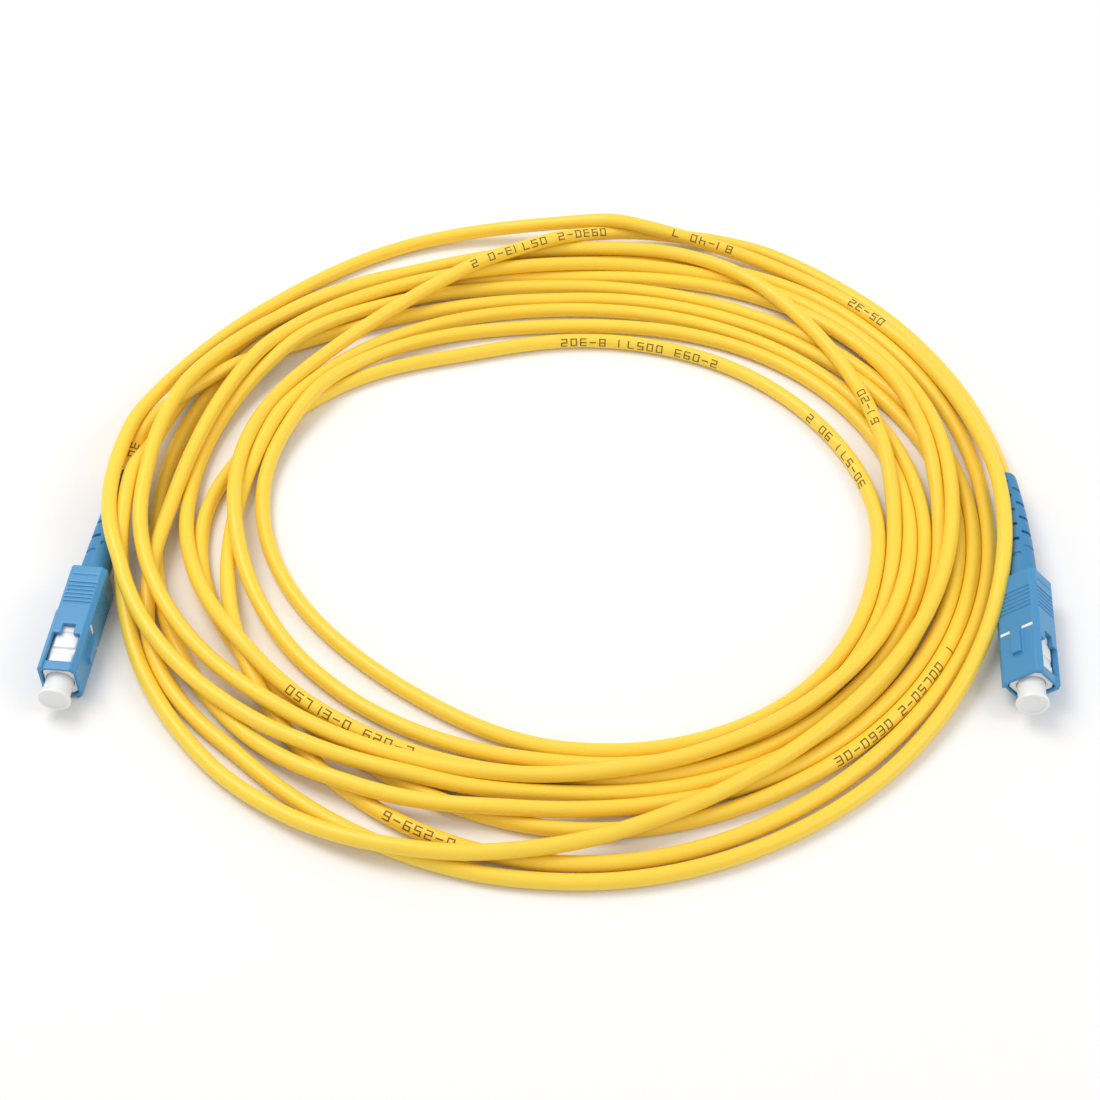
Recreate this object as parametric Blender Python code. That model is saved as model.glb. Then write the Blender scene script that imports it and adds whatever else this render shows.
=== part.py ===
"""Simplex fibre optic patch cord: a coiled cable with a push-pull square connector on each end.

Run it with blender --background --python part.py, or from Blender's text editor.
Lengths are in metres and +Z is up. Each connector is modelled in its own frame, with the
origin on the ferrule's axis at the coupling sleeve's front face, +Y running back towards the
cable, +X towards the key and +Z towards one of the two latch windows.
"""
import math

import bmesh
import bpy
from mathutils import Matrix, Vector

MM = 0.001

# Where the pieces lie. The origin is under the middle of the two connectors, on the table.
CONNECTORS = {
    "a": {"front": (-91.4, -23.0, 4.5), "yaw": -5.8, "roll": 0.0},
    "b": {"front": (87.8, -24.5, 5.17), "yaw": -4.8, "roll": -132.8},
}
COIL_CENTRE = (1.2, 19.0)
COIL_OUTER_RADIUS = 84.0
COIL_INNER_RADIUS = 58.0
COIL_HEIGHT = 9.0
COIL_CORNER = 2.7
COIL_SIDES = 72

# Cable
CABLE_DIAMETER = 3.0
CABLE_START = 32.9            # where the jacket begins, behind the sleeve's front face
LEAD_STEP = 7.0
ROUTE_PARTS = 40              # pieces that a curve is cut in between two of its points
CABLE_STRAIGHT = 1.0            # how far the cable runs straight on behind the boot
LEAD_ROUTES = {
    "a": [(-84.6, 39.0, 4.4), (-81.8, 49.0, 4.2), (-76.8, 59.2, 4.0), (-70.2, 68.4, 4.0)],
    "b": [(90.8, 39.0, 4.9), (87.2, 50.4, 4.6), (81.2, 61.0, 4.4), (72.8, 70.8, 4.4)],
}

# Coupling sleeve, the outer push-pull housing
SLEEVE_LENGTH = 24.5
SLEEVE_WIDTH = 7.4            # along X, between the key face and its opposite
SLEEVE_HEIGHT = 9.0           # along Z, between the two window faces
SLEEVE_CHAMFER = 0.9
CAVITY_WIDTH = 6.1
CAVITY_HEIGHT = 7.2
CAVITY_CHAMFER = 0.7
GRIP_LENGTH = 10.5            # the rear stretch with the finger grooves
GRIP_STEP = 0.4
GROOVE_COUNT = 6
GROOVE_PITCH = 0.93
GROOVE_WIDTH = 0.36
GROOVE_DEPTH = 0.28
GROOVE_LAST = 20.5            # the groove nearest the cable
GROOVE_HALF_WINDOW = 2.7      # half a groove's length on a window face
GROOVE_HALF_KEY = 3.5         # half a groove's length on the key face
WINDOW_START = 2.0
WINDOW_END = 8.2
WINDOW_WIDTH = 5.2
WINDOW_NECK_END = 10.4
WINDOW_NECK_WIDTH = 2.4
BRIDGE_DEPTH = 0.45           # the bar in front of each window lies this far below the face
BRIDGE_OVERLAP = 0.5          # how far the recess reaches into the window
KEY_START = 5.4
KEY_END = 11.2
KEY_WIDTH = 2.0
KEY_HEIGHT = 0.8
KEY_ROOT = 0.3                # how far the key goes into the sleeve's wall, so that they join
MARK_POSITION = 11.1
MARK_WIDTH = 0.7
MARK_INNER = 1.08             # distance from the axis plane to the near end of a white mark
MARK_OUTER = 3.5
MARK_DEPTH = 0.3
MARK_GAP = 0.03

# Plug frame, the fixed inner body that the adapter's hooks latch on
FRAME_FRONT = 0.4
FRAME_REAR = 24.0
FRAME_WIDTH = 5.8
FRAME_HEIGHT = 6.9
FRAME_CHAMFER = 0.9
FRAME_MOUTH_RADIUS = 2.65
FRAME_SHOULDER_START = 7.0
FRAME_SHOULDER_END = 8.2
FRAME_SHOULDER_RADIUS = 1.5
FRAME_REAR_RADIUS = 2.4
CATCH_START = 4.2
CATCH_END = 5.6
CATCH_DEPTH = 0.4

# Ferrule, its flange, the spring and the fibre
FERRULE_FRONT = 1.0
FERRULE_REAR = 11.5
FERRULE_RADIUS = 1.25
FERRULE_BORE_RADIUS = 0.08
FERRULE_TIP_CHAMFER = 0.3
FLANGE_FRONT = 8.3
FLANGE_REAR = 13.0
FLANGE_RADIUS = 2.2
FLANGE_BOSS_REAR = 14.6
FLANGE_BOSS_RADIUS = 1.35
SPRING_FRONT = 13.4
SPRING_REAR = 18.2
SPRING_MEAN_RADIUS = 1.85
SPRING_WIRE_RADIUS = 0.22
SPRING_TURNS = 5
GLASS_RADIUS = 0.0625
BUFFER_RADIUS = 0.45
BUFFER_REAR = 31.8
FERRULE_SEAT_GAP = 0.03       # round the ferrule in its flange
FIBRE_GAP = 0.05              # round the buffer in the flange
SEAT_FLOOR_GAP = 0.1          # behind the ferrule in its flange
BUFFER_GAP = 0.2              # from the ferrule to the end of the buffer
FIBRE_SIDES = 12
SPRING_POINTS_PER_TURN = 12

# Stop ring, strength member, crimp ring and boot
STOP_FRONT = 18.6
STOP_STEP = 25.6
STOP_REAR = 31.0
STOP_RADIUS = 2.3
STOP_NECK_RADIUS = 2.2
STOP_SPIGOT_RADIUS = 1.55
STOP_BORE_RADIUS = 0.65
STOP_NECK_STEP = 0.1
YARN_FRONT = 25.9
YARN_REAR = 31.0
YARN_INNER_RADIUS = 1.6
YARN_OUTER_RADIUS = 1.85
CRIMP_FRONT = 25.9
CRIMP_REAR = 32.3
CRIMP_INNER_RADIUS = 1.9
CRIMP_OUTER_RADIUS = 2.2
BOOT_FRONT = 24.3
BOOT_REAR = 52.0
BOOT_CUP_END = 32.6
BOOT_CUP_RADIUS = 2.32
BOOT_BORE_RADIUS = 1.62
BOOT_FRONT_RADIUS = 2.95
BOOT_SHOULDER_RADIUS = 2.85
BOOT_TIP_RADIUS = 2.15
BOOT_SHOULDER_LENGTH = 3.5    # the plain collar before the cone
BOOT_LIP_LENGTH = 1.0         # the last stretch, with a rounded end
BOOT_LIP_STEP = 0.1
BOOT_LIP_EDGE_LENGTH = 0.3
BOOT_LIP_EDGE = 0.25
BOOT_SLOT_COUNT = 11
BOOT_SLOT_FIRST = 29.8
BOOT_SLOT_PITCH = 1.92
BOOT_SLOT_WIDTH = 0.7
BOOT_SLOT_FLOOR_RADIUS = 1.9
BOOT_CUP_WALL = 0.13           # least wall left under a slot where the boot is over the crimp
BOOT_SLOT_ARC = 164.0
BOOT_SLOT_REACH = 4.0         # outer radius of the slots' cutters, past the boot's own
SLOT_ARC_STEPS = 10

# Dust cap
CAP_FRONT = -4.2
CAP_FLANGE_BACK = -3.4
CAP_REAR = 5.5
CAP_FLANGE_RADIUS = 3.05
CAP_TUBE_RADIUS = 2.55
CAP_BORE_RADIUS = 1.3
CAP_BORE_FRONT = 0.3
CAP_EDGE = 0.15

PAST = 1.0                    # how far a cutter goes past the surface it cuts
SHARP_ANGLE = 35.0            # edges above this angle, in degrees, are shaded sharp
FINE = 32                     # sides of the round pieces that show
COARSE = 20                   # sides of the round pieces inside

COLOURS = {                   # name: colour, roughness, metallic
    "sleeve_blue": ((0.09, 0.31, 0.60), 0.35, 0.0),
    "boot_blue": ((0.10, 0.33, 0.60), 0.5, 0.0),
    "frame_white": ((0.86, 0.86, 0.85), 0.4, 0.0),
    "mark_white": ((0.88, 0.88, 0.86), 0.6, 0.0),
    "cap_natural": ((0.85, 0.85, 0.82), 0.35, 0.0),
    "zirconia": ((0.90, 0.89, 0.85), 0.15, 0.0),
    "nickel": ((0.62, 0.62, 0.60), 0.3, 1.0),
    "spring_steel": ((0.55, 0.55, 0.55), 0.3, 1.0),
    "aramid": ((0.80, 0.66, 0.25), 0.8, 0.0),
    "buffer_white": ((0.88, 0.88, 0.86), 0.5, 0.0),
    "jacket_yellow": ((0.87, 0.62, 0.05), 0.45, 0.0),
}


def clear_scene():
    for obj in list(bpy.data.objects):
        bpy.data.objects.remove(obj, do_unlink=True)


def make_materials():
    materials = {}
    for name, (colour, roughness, metallic) in COLOURS.items():
        material = bpy.data.materials.new(name)
        material.use_nodes = True
        shader = material.node_tree.nodes["Principled BSDF"]
        shader.inputs["Base Color"].default_value = (*colour, 1.0)
        shader.inputs["Roughness"].default_value = roughness
        shader.inputs["Metallic"].default_value = metallic
        materials[name] = material
    return materials


def add_object(name, bm, material=None, parent=None, smooth=True):
    """Turn a bmesh whose sizes are in millimetres into an object in metres."""
    bmesh.ops.scale(bm, vec=(MM, MM, MM), verts=bm.verts)
    bmesh.ops.recalc_face_normals(bm, faces=bm.faces)
    mesh = bpy.data.meshes.new(name)
    bm.to_mesh(mesh)
    bm.free()
    if smooth:
        mesh.shade_smooth()
        mesh.set_sharp_from_angle(angle=math.radians(SHARP_ANGLE))
    obj = bpy.data.objects.new(name, mesh)
    bpy.context.scene.collection.objects.link(obj)
    if material:
        mesh.materials.append(material)
    obj.parent = parent
    return obj


def cut(obj, name, bm):
    """Cut a bmesh out of an object with a live Boolean; the cutter stays hidden in renders."""
    cutter = add_object(name, bm, parent=obj.parent, smooth=False)
    cutter.hide_render = True
    cutter.display_type = "WIRE"
    modifier = obj.modifiers.new(name, "BOOLEAN")
    modifier.operation = "DIFFERENCE"
    modifier.solver = "EXACT"
    modifier.object = cutter


def join(obj, name, bm):
    """Add a bmesh to an object with a live Boolean union."""
    cut(obj, name, bm)
    obj.modifiers[name].operation = "UNION"


def add_box(bm, low, high):
    low = Vector(low)
    high = Vector(high)
    size = Matrix.Diagonal((*(high - low), 1.0))
    bmesh.ops.create_cube(bm, size=1.0, matrix=Matrix.Translation((low + high) / 2) @ size)


def chamfered_outline(width, height, chamfer):
    """The eight corners, in X and Z, of a rectangle with cut corners."""
    w = width / 2
    h = height / 2
    corners = []
    for sx, sz in ((1, 1), (-1, 1), (-1, -1), (1, -1)):
        along_x = (sx * (w - chamfer), sz * h)
        along_z = (sx * w, sz * (h - chamfer))
        corners += [along_z, along_x] if sx * sz > 0 else [along_x, along_z]
    return corners


def add_prism(bm, outline, start, end):
    """Extrude an outline in X and Z along Y."""
    face = bm.faces.new([bm.verts.new((x, start, z)) for x, z in outline])
    grown = bmesh.ops.extrude_face_region(bm, geom=[face])
    moved = [item for item in grown["geom"] if isinstance(item, bmesh.types.BMVert)]
    bmesh.ops.translate(bm, verts=moved, vec=(0, end - start, 0))


def turned(profile, sides, axis="Y"):
    """Spin a closed outline of (radius, position along the axis) into a solid."""
    direction = Vector((0, 1, 0)) if axis == "Y" else Vector((0, 0, 1))
    bm = bmesh.new()
    verts = [bm.verts.new(Vector((radius, 0, 0)) + direction * along) for radius, along in profile]
    on_axis = [radius == 0 for radius, along in profile]
    edges = []
    for i, vert in enumerate(verts):
        following = (i + 1) % len(verts)
        if not (on_axis[i] and on_axis[following]):
            edges.append(bm.edges.new((vert, verts[following])))
    bmesh.ops.spin(bm, geom=verts + edges, cent=(0, 0, 0), axis=direction,
                   angle=math.tau, steps=sides, use_merge=True)
    bmesh.ops.remove_doubles(bm, verts=bm.verts, dist=1e-5)
    return bm


def smooth_route(points, step):
    """Evenly spaced points on a centripetal Catmull-Rom curve through the given points."""
    points = [Vector(p) for p in points]
    points = [2 * points[0] - points[1]] + points + [2 * points[-1] - points[-2]]
    fine = []
    for before, start, end, after in zip(points, points[1:], points[2:], points[3:]):
        for i in range(ROUTE_PARTS):
            t = i / ROUTE_PARTS
            fine.append(0.5 * (2 * start + (end - before) * t
                               + (2 * before - 5 * start + 4 * end - after) * t ** 2
                               + (3 * start - 3 * end + after - before) * t ** 3))
    fine.append(points[-2])
    total = sum((q - p).length for p, q in zip(fine, fine[1:]))
    count = max(2, round(total / step))
    route = [fine[0]]
    walked = 0.0
    for p, q in zip(fine, fine[1:]):
        walked += (q - p).length
        if walked >= total * len(route) / count - 1e-6:
            route.append(q)
    return route


def add_tube(name, points, radius, material, parent=None, sides_resolution=2):
    """A round rod along a poly line, as a curve with a bevel and filled caps."""
    curve = bpy.data.curves.new(name, "CURVE")
    curve.dimensions = "3D"
    curve.bevel_depth = radius * MM
    curve.bevel_resolution = sides_resolution
    curve.use_fill_caps = True
    spline = curve.splines.new("POLY")
    spline.points.add(len(points) - 1)
    for target, point in zip(spline.points, points):
        target.co = (*(Vector(point) * MM), 1.0)
    curve.materials.append(material)
    obj = bpy.data.objects.new(name, curve)
    bpy.context.scene.collection.objects.link(obj)
    obj.parent = parent
    return obj


def coupling_sleeve(end, base, materials):
    bm = bmesh.new()
    add_prism(bm, chamfered_outline(SLEEVE_WIDTH, SLEEVE_HEIGHT, SLEEVE_CHAMFER), 0, SLEEVE_LENGTH)
    sleeve = add_object("coupling_sleeve_" + end, bm, materials["sleeve_blue"], base)

    bm = bmesh.new()
    face_x = SLEEVE_WIDTH / 2
    add_box(bm, (face_x - KEY_ROOT, KEY_START, -KEY_WIDTH / 2),
            (face_x + KEY_HEIGHT, KEY_END, KEY_WIDTH / 2))
    join(sleeve, "key_" + end, bm)

    bm = bmesh.new()
    outline = chamfered_outline(CAVITY_WIDTH, CAVITY_HEIGHT, CAVITY_CHAMFER)
    add_prism(bm, outline, -PAST, SLEEVE_LENGTH + PAST)
    cut(sleeve, "sleeve_cavity_" + end, bm)

    bm = bmesh.new()
    grip_start = SLEEVE_LENGTH - GRIP_LENGTH
    add_box(bm, (-face_x - PAST, grip_start, -SLEEVE_HEIGHT),
            (-face_x + GRIP_STEP, SLEEVE_LENGTH + PAST, SLEEVE_HEIGHT))
    cut(sleeve, "grip_step_" + end, bm)

    bm = bmesh.new()
    reach = SLEEVE_HEIGHT
    half_neck = WINDOW_NECK_WIDTH / 2
    half = WINDOW_WIDTH / 2
    outline = [(-half, WINDOW_START), (half, WINDOW_START), (half, WINDOW_END), (half_neck, WINDOW_END),
               (half_neck, WINDOW_NECK_END), (-half_neck, WINDOW_NECK_END), (-half_neck, WINDOW_END),
               (-half, WINDOW_END)]
    face = bm.faces.new([bm.verts.new((x, y, -reach)) for x, y in outline])
    grown = bmesh.ops.extrude_face_region(bm, geom=[face])
    moved = [item for item in grown["geom"] if isinstance(item, bmesh.types.BMVert)]
    bmesh.ops.translate(bm, verts=moved, vec=(0, 0, 2 * reach))
    cut(sleeve, "latch_windows_" + end, bm)

    bm = bmesh.new()
    face_z = SLEEVE_HEIGHT / 2
    for side in (-1, 1):
        low, high = sorted((side * (face_z - BRIDGE_DEPTH), side * (face_z + PAST)))
        add_box(bm, (-half, -PAST, low), (half, WINDOW_START + BRIDGE_OVERLAP, high))
    cut(sleeve, "bridge_recess_" + end, bm)

    bm = bmesh.new()
    for number in range(GROOVE_COUNT):
        rear = GROOVE_LAST - number * GROOVE_PITCH
        front = rear - GROOVE_WIDTH
        for side in (-1, 1):
            low, high = sorted((side * (face_z - GROOVE_DEPTH), side * (face_z + PAST)))
            add_box(bm, (-GROOVE_HALF_WINDOW, front, low), (GROOVE_HALF_WINDOW, rear, high))
        add_box(bm, (face_x - GROOVE_DEPTH, front, -GROOVE_HALF_KEY),
                (face_x + PAST, rear, GROOVE_HALF_KEY))
    cut(sleeve, "grip_grooves_" + end, bm)

    bm = bmesh.new()
    for side in (-1, 1):
        low, high = sorted((side * MARK_INNER, side * MARK_OUTER))
        add_box(bm, (face_x - MARK_DEPTH, MARK_POSITION - MARK_WIDTH / 2, low),
                (face_x + PAST, MARK_POSITION + MARK_WIDTH / 2, high))
    cut(sleeve, "mark_pockets_" + end, bm)
    return sleeve


def index_marks(end, base, materials):
    """The two white bars on the key face that show when the sleeve is fully home."""
    gap = MARK_GAP
    face_x = SLEEVE_WIDTH / 2
    for side, label in ((1, "left"), (-1, "right")):
        low, high = sorted((side * (MARK_INNER + gap), side * (MARK_OUTER - gap)))
        bm = bmesh.new()
        add_box(bm, (face_x - MARK_DEPTH + gap, MARK_POSITION - MARK_WIDTH / 2 + gap, low),
                (face_x, MARK_POSITION + MARK_WIDTH / 2 - gap, high))
        add_object("index_mark_" + label + "_" + end, bm, materials["mark_white"], base, smooth=False)


def plug_frame(end, base, materials):
    bm = bmesh.new()
    add_prism(bm, chamfered_outline(FRAME_WIDTH, FRAME_HEIGHT, FRAME_CHAMFER), FRAME_FRONT, FRAME_REAR)
    frame = add_object("plug_frame_" + end, bm, materials["frame_white"], base)
    profile = [(0, FRAME_FRONT - PAST), (FRAME_MOUTH_RADIUS, FRAME_FRONT - PAST),
               (FRAME_MOUTH_RADIUS, FRAME_SHOULDER_START), (FRAME_SHOULDER_RADIUS, FRAME_SHOULDER_START),
               (FRAME_SHOULDER_RADIUS, FRAME_SHOULDER_END), (FRAME_REAR_RADIUS, FRAME_SHOULDER_END),
               (FRAME_REAR_RADIUS, FRAME_REAR + PAST), (0, FRAME_REAR + PAST)]
    cut(frame, "frame_bore_" + end, turned(profile, FINE))
    bm = bmesh.new()
    for side in (-1, 1):
        face_z = FRAME_HEIGHT / 2
        low, high = sorted((side * (face_z - CATCH_DEPTH), side * (face_z + PAST)))
        add_box(bm, (-FRAME_WIDTH, CATCH_START, low), (FRAME_WIDTH, CATCH_END, high))
    cut(frame, "latch_catch_" + end, bm)


def ferrule_set(end, base, materials):
    """The ceramic ferrule, the metal flange that holds it, the buffered fibre and the spring."""
    tip = FERRULE_FRONT
    edge = FERRULE_TIP_CHAMFER
    profile = [(FERRULE_BORE_RADIUS, tip), (FERRULE_RADIUS - edge, tip), (FERRULE_RADIUS, tip + edge),
               (FERRULE_RADIUS, FERRULE_REAR), (FERRULE_BORE_RADIUS, FERRULE_REAR)]
    add_object("ferrule_" + end, turned(profile, COARSE), materials["zirconia"], base)

    seat = FERRULE_RADIUS + FERRULE_SEAT_GAP
    bore = BUFFER_RADIUS + FIBRE_GAP
    profile = [(seat, FLANGE_FRONT), (FLANGE_RADIUS, FLANGE_FRONT), (FLANGE_RADIUS, FLANGE_REAR),
               (FLANGE_BOSS_RADIUS, FLANGE_REAR), (FLANGE_BOSS_RADIUS, FLANGE_BOSS_REAR),
               (bore, FLANGE_BOSS_REAR), (bore, FERRULE_REAR + SEAT_FLOOR_GAP),
               (seat, FERRULE_REAR + SEAT_FLOOR_GAP)]
    add_object("ferrule_flange_" + end, turned(profile, COARSE), materials["nickel"], base)

    step = FERRULE_REAR + BUFFER_GAP
    profile = [(0, tip), (GLASS_RADIUS, tip), (GLASS_RADIUS, step), (BUFFER_RADIUS, step),
               (BUFFER_RADIUS, BUFFER_REAR), (0, BUFFER_REAR)]
    add_object("buffered_fibre_" + end, turned(profile, FIBRE_SIDES), materials["buffer_white"], base)

    count = SPRING_TURNS * SPRING_POINTS_PER_TURN
    points = []
    for i in range(count + 1):
        angle = math.tau * i / SPRING_POINTS_PER_TURN
        along = SPRING_FRONT + (SPRING_REAR - SPRING_FRONT) * i / count
        points.append((SPRING_MEAN_RADIUS * math.cos(angle), along, SPRING_MEAN_RADIUS * math.sin(angle)))
    add_tube("ferrule_spring_" + end, points, SPRING_WIRE_RADIUS, materials["spring_steel"], base, 1)


def rear_body(end, base, materials):
    """The stop ring pressed in the frame, the aramid yarn on its spigot and the crimp ring."""
    profile = [(STOP_BORE_RADIUS, STOP_FRONT), (STOP_RADIUS, STOP_FRONT), (STOP_RADIUS, FRAME_REAR),
               (STOP_NECK_RADIUS, FRAME_REAR + STOP_NECK_STEP), (STOP_NECK_RADIUS, STOP_STEP),
               (STOP_SPIGOT_RADIUS, STOP_STEP), (STOP_SPIGOT_RADIUS, STOP_REAR),
               (STOP_BORE_RADIUS, STOP_REAR)]
    add_object("stop_ring_" + end, turned(profile, COARSE), materials["nickel"], base)
    profile = [(YARN_INNER_RADIUS, YARN_FRONT), (YARN_OUTER_RADIUS, YARN_FRONT),
               (YARN_OUTER_RADIUS, YARN_REAR), (YARN_INNER_RADIUS, YARN_REAR)]
    add_object("aramid_yarn_" + end, turned(profile, COARSE), materials["aramid"], base)
    profile = [(CRIMP_INNER_RADIUS, CRIMP_FRONT), (CRIMP_OUTER_RADIUS, CRIMP_FRONT),
               (CRIMP_OUTER_RADIUS, CRIMP_REAR), (CRIMP_INNER_RADIUS, CRIMP_REAR)]
    add_object("crimp_ring_" + end, turned(profile, COARSE), materials["nickel"], base)


def add_arc_block(bm, inner, outer, start, end, middle_angle, arc):
    """A slice of a ring round Y, used to cut one slot of the boot."""
    steps = SLOT_ARC_STEPS
    first = math.radians(middle_angle - arc / 2)
    outline = []
    for i in range(steps + 1):
        angle = first + math.radians(arc) * i / steps
        outline.append((outer * math.cos(angle), outer * math.sin(angle)))
    for i in range(steps, -1, -1):
        angle = first + math.radians(arc) * i / steps
        outline.append((inner * math.cos(angle), inner * math.sin(angle)))
    add_prism(bm, outline, start, end)


def boot(end, base, materials):
    """The bend-limiting boot: a cone with slots cut from opposite sides in turn."""
    cone_start = BOOT_FRONT + BOOT_SHOULDER_LENGTH
    profile = [(BOOT_CUP_RADIUS, BOOT_FRONT), (BOOT_FRONT_RADIUS, BOOT_FRONT),
               (BOOT_SHOULDER_RADIUS, cone_start),
               (BOOT_TIP_RADIUS + BOOT_LIP_STEP, BOOT_REAR - BOOT_LIP_LENGTH),
               (BOOT_TIP_RADIUS, BOOT_REAR - BOOT_LIP_EDGE_LENGTH),
               (BOOT_TIP_RADIUS - BOOT_LIP_EDGE, BOOT_REAR),
               (BOOT_BORE_RADIUS, BOOT_REAR), (BOOT_BORE_RADIUS, BOOT_CUP_END),
               (BOOT_CUP_RADIUS, BOOT_CUP_END)]
    piece = add_object("boot_" + end, turned(profile, FINE), materials["boot_blue"], base)
    bm = bmesh.new()
    for number in range(BOOT_SLOT_COUNT):
        along = BOOT_SLOT_FIRST + number * BOOT_SLOT_PITCH
        middle = CONNECTORS[end]["roll"] + (0 if number % 2 else 180)
        over_cup = along < BOOT_CUP_END + BOOT_CUP_WALL
        floor = BOOT_CUP_RADIUS + BOOT_CUP_WALL if over_cup else BOOT_SLOT_FLOOR_RADIUS
        add_arc_block(bm, floor, BOOT_SLOT_REACH, along, along + BOOT_SLOT_WIDTH,
                      middle, BOOT_SLOT_ARC)
    cut(piece, "boot_slots_" + end, bm)


def dust_cap(end, base, materials):
    profile = [(0, CAP_FRONT), (CAP_FLANGE_RADIUS - CAP_EDGE, CAP_FRONT),
               (CAP_FLANGE_RADIUS, CAP_FRONT + CAP_EDGE), (CAP_FLANGE_RADIUS, CAP_FLANGE_BACK - CAP_EDGE),
               (CAP_FLANGE_RADIUS - CAP_EDGE, CAP_FLANGE_BACK), (CAP_TUBE_RADIUS, CAP_FLANGE_BACK),
               (CAP_TUBE_RADIUS, CAP_REAR), (CAP_BORE_RADIUS, CAP_REAR), (CAP_BORE_RADIUS, CAP_BORE_FRONT),
               (0, CAP_BORE_FRONT)]
    add_object("dust_cap_" + end, turned(profile, FINE), materials["cap_natural"], base)


def add_connector(end, materials):
    place = CONNECTORS[end]
    base = bpy.data.objects.new("connector_frame_" + end, None)
    bpy.context.scene.collection.objects.link(base)
    base.location = Vector(place["front"]) * MM
    turn = Matrix.Rotation(math.radians(place["yaw"]), 3, "Z")
    roll = Matrix.Rotation(math.radians(place["roll"]), 3, "Y")
    base.rotation_euler = (turn @ roll).to_euler()
    coupling_sleeve(end, base, materials)
    index_marks(end, base, materials)
    plug_frame(end, base, materials)
    ferrule_set(end, base, materials)
    rear_body(end, base, materials)
    boot(end, base, materials)
    dust_cap(end, base, materials)
    return Vector(place["front"]), turn @ Vector((0, 1, 0))


def add_coil(materials):
    """The outer shape of the coiled cable: a turned ring with a rounded section."""
    corner = COIL_CORNER
    inner = COIL_INNER_RADIUS
    outer = COIL_OUTER_RADIUS
    profile = [(inner, COIL_HEIGHT - corner), (inner, corner), (inner + corner, 0), (outer - corner, 0),
               (outer, corner), (outer, COIL_HEIGHT - corner), (outer - corner, COIL_HEIGHT),
               (inner + corner, COIL_HEIGHT)]
    coil = add_object("cable_coil", turned(profile, COIL_SIDES, "Z"), materials["jacket_yellow"])
    coil.location = Vector((*COIL_CENTRE, 0)) * MM


def add_lead(end, front, back, materials):
    """The stretch of cable between a connector and the coil."""
    start = front + back * CABLE_START
    boot_end = front + back * (BOOT_REAR + CABLE_STRAIGHT)
    route = [start, (start + boot_end) / 2, boot_end] + LEAD_ROUTES[end]
    points = smooth_route(route, LEAD_STEP)
    add_tube("cable_lead_" + end, points, CABLE_DIAMETER / 2, materials["jacket_yellow"])


def main():
    clear_scene()
    materials = make_materials()
    add_coil(materials)
    for end in CONNECTORS:
        front, back = add_connector(end, materials)
        add_lead(end, front, back, materials)


main()
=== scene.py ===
"""Looks of a fibre patch cord: a loosely coiled yellow cable with a blue push-pull connector on
each end."""
import math

import bmesh
import bpy
import numpy as np
from mathutils import Matrix, Vector, kdtree


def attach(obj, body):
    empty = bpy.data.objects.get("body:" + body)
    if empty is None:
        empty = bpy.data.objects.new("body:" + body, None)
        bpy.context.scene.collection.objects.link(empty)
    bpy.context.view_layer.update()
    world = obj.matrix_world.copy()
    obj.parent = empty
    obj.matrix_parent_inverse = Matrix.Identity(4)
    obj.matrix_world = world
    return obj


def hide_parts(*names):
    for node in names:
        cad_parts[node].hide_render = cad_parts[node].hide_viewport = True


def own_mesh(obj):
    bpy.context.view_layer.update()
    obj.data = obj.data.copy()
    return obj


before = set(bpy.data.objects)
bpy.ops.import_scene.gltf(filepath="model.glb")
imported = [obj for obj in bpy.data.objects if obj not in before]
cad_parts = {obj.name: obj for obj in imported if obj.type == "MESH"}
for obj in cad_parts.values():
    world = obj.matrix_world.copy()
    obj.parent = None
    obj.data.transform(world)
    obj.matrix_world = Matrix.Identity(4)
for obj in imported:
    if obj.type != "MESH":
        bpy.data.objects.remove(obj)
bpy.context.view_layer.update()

bl_info = {
    "name": "Fibre patch cord",
    "version": (1, 0, 0),
    "blender": (4, 5, 0),
    "location": "View3D > Sidebar > Patch Cord",
    "description": "Builds a coiled fibre patch cord with two capped push-pull connectors",
    "category": "Add Mesh",
}

MM = 0.001
TINY = 1e-9

# Where each connector lies: the front of its sleeve in millimetres, its turn about the upright and
# its roll, both in degrees. In its own frame a connector points along -Y, its key is on +X and its
# window is on +Z. Places along its axis are counted back from its sleeve's front face.
ENDS = {
    "a": ((-91.4, -23.0, 4.5), -5.8, 0.0),
    "b": ((87.8, -24.5, 5.17), -4.8, -132.8),
}
CABLE_START = 32.9  # where the jacket begins inside the boot, mm
BOOT_TIP = 52.0  # the end of the boot, mm
BOOT_BEND = {"a": 0.3, "b": -1.8}  # how far each boot's tip is drawn sideways, mm
BEND_FROM = 28.0  # a boot is stiff up to here, over the crimp, mm


def end_matrix(end):
    """The place of a connector, from its own millimetres to metres in the object's frame."""
    front, yaw, roll = ENDS[end]
    yaw_turn = Matrix.Rotation(math.radians(yaw), 4, "Z")
    roll_turn = Matrix.Rotation(math.radians(roll), 4, "Y")
    return Matrix.Translation(Vector(front) * MM) @ (yaw_turn @ roll_turn) @ Matrix.Scale(MM, 4)


def boot_sag(end, along):
    """How far the soft end of a boot is drawn aside by its cable, in millimetres."""
    return BOOT_BEND[end] * max(0.0, (along - BEND_FROM) / (BOOT_TIP - BEND_FROM)) ** 2


def end_point(end, along):
    """A point on a connector's axis, in millimetres in the object's frame."""
    point = np.array(end_matrix(end) @ Vector((0.0, along, 0.0))) / MM
    point[0] += boot_sag(end, along)
    return point


# ---------------------------------------------------------------- the cable's route

CENTRE = np.array((-0.8, 18.0))  # the middle of the coil, mm
VIEW_PLANE = 5.0  # the height at which the turns' radii are given, mm
VIEW_LEAN = 0.85  # how far a strand seems to shift for each mm of height
# Heights of a strand's middle on the floor, on one strand and on two, mm.
LAYER = {"L": 1.5, "M": 4.5, "T": 7.5}

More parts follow.
